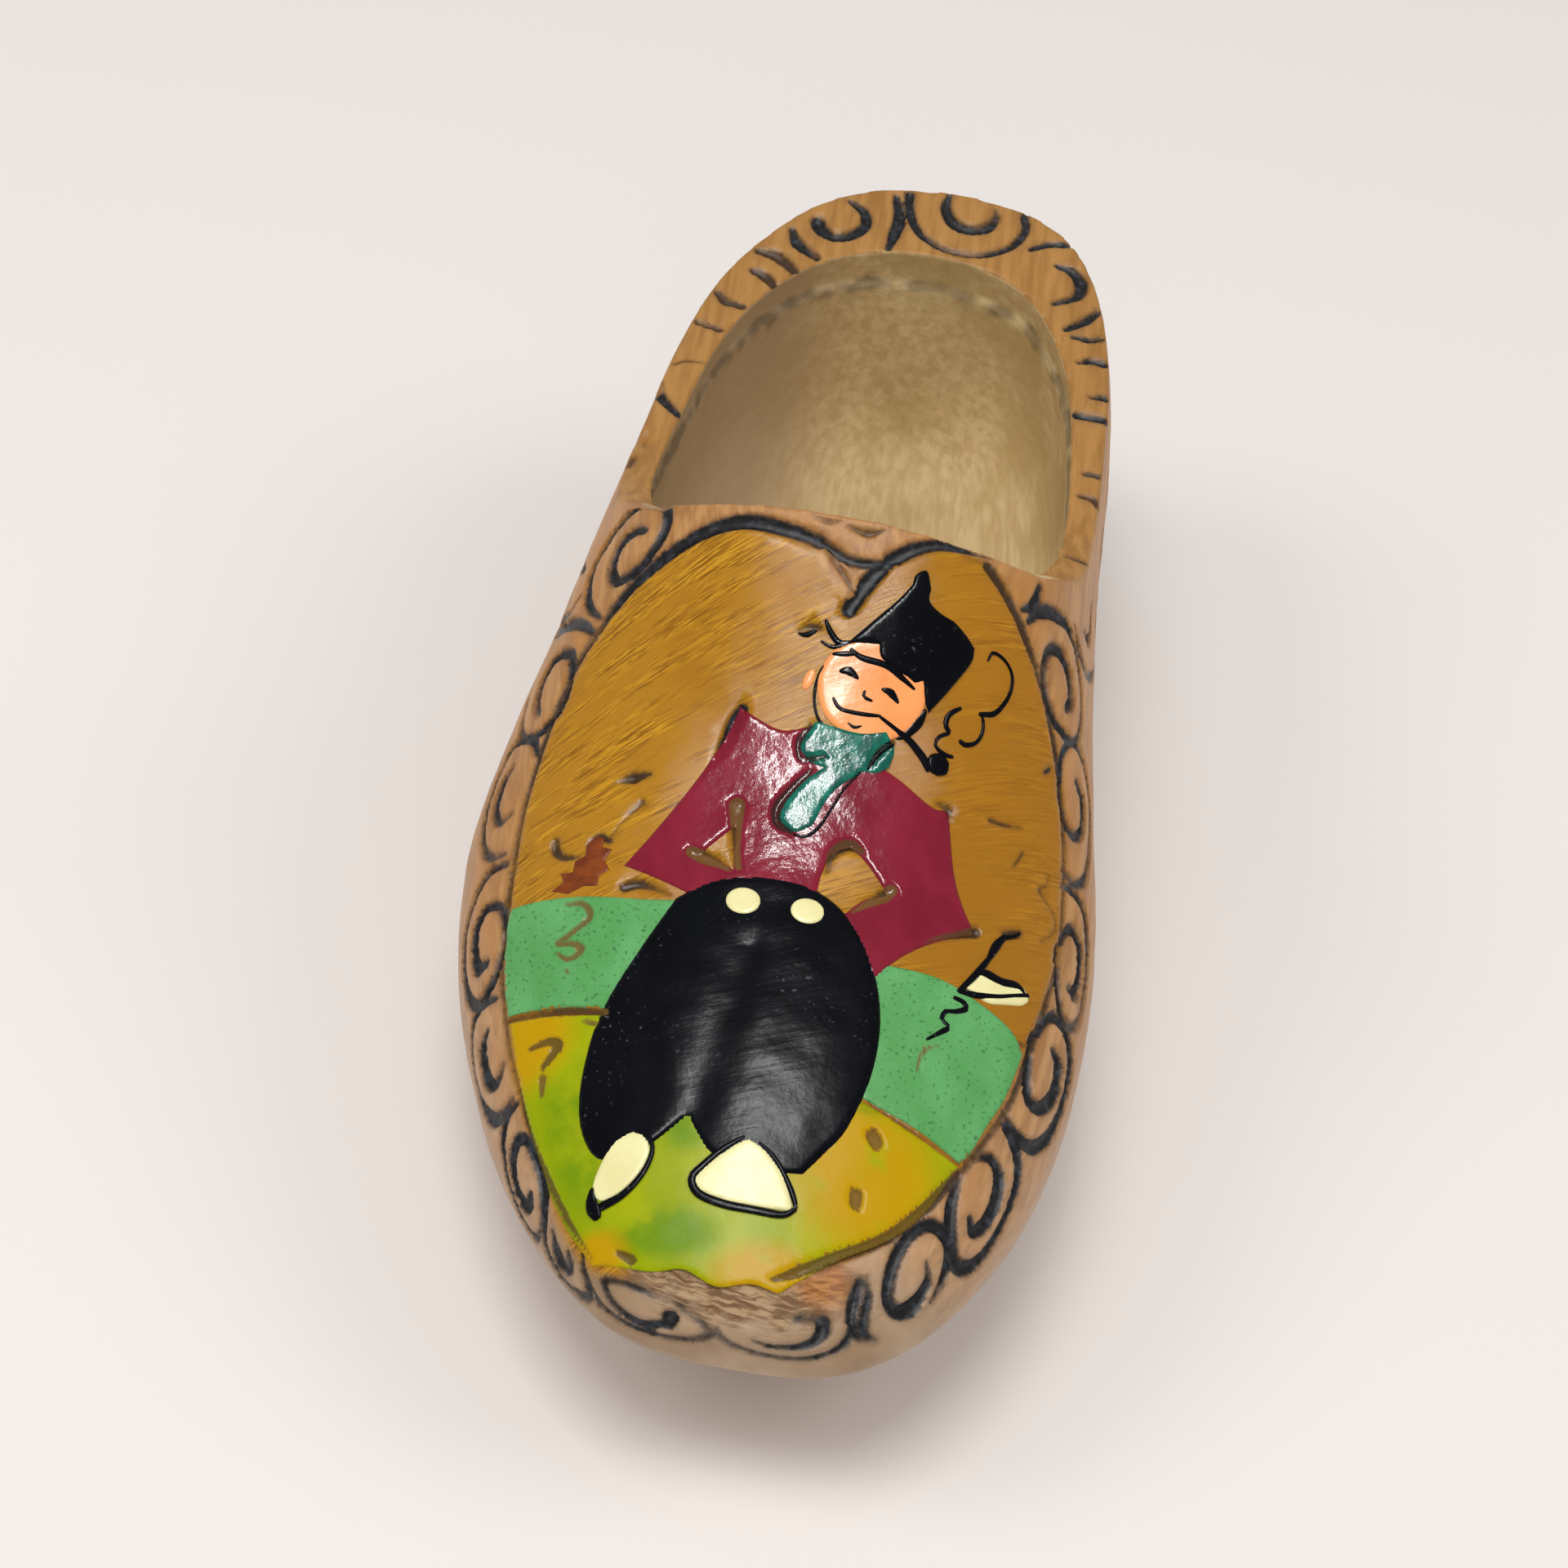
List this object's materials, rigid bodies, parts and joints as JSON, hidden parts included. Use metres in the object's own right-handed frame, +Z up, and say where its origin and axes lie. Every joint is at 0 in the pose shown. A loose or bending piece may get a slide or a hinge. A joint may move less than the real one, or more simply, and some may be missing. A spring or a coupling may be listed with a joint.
{
  "type": "wooden clog",
  "caption": "Small carved wooden clog for the right foot, hollowed for the foot, with an enamel folk picture on its vamp inside a carved heart-shaped line.",
  "frame": {"origin": "middle of the overall box in plan, on the plane the sole stands on", "axes": "+Z up, toe towards -Y, heel towards +Y, +X towards the wearer's big-toe side"},
  "size_m": [0.0666, 0.165, 0.0594],
  "materials": {
    "carved_wood": "varnished, carved with stained grooves, bare inside",
    "black_enamel": "glossy brushed enamel",
    "skin_enamel": "glossy brushed enamel",
    "teal_enamel": "glossy brushed enamel",
    "raspberry_enamel": "glossy thick enamel",
    "cream_enamel": "glossy thick enamel",
    "green_enamel": "satin brushed enamel",
    "yellow_enamel": "glossy enamel blended with green",
    "rust_enamel": "thin translucent enamel"
  },
  "bodies": {
    "root": {"carved_wood_clog": "carved_wood", "hat_enamel": "black_enamel", "face_enamel": "skin_enamel", "scarf_enamel": "teal_enamel", "jacket_enamel": "raspberry_enamel", "trousers_enamel": "black_enamel", "button_left_enamel": "cream_enamel", "button_right_enamel": "cream_enamel", "shoe_left_enamel": "cream_enamel", "shoe_right_enamel": "cream_enamel", "meadow_left_enamel": "green_enamel", "meadow_right_enamel": "green_enamel", "field_enamel": "yellow_enamel", "boat_enamel": "cream_enamel", "bush_enamel": "rust_enamel"}
  },
  "joints": []
}
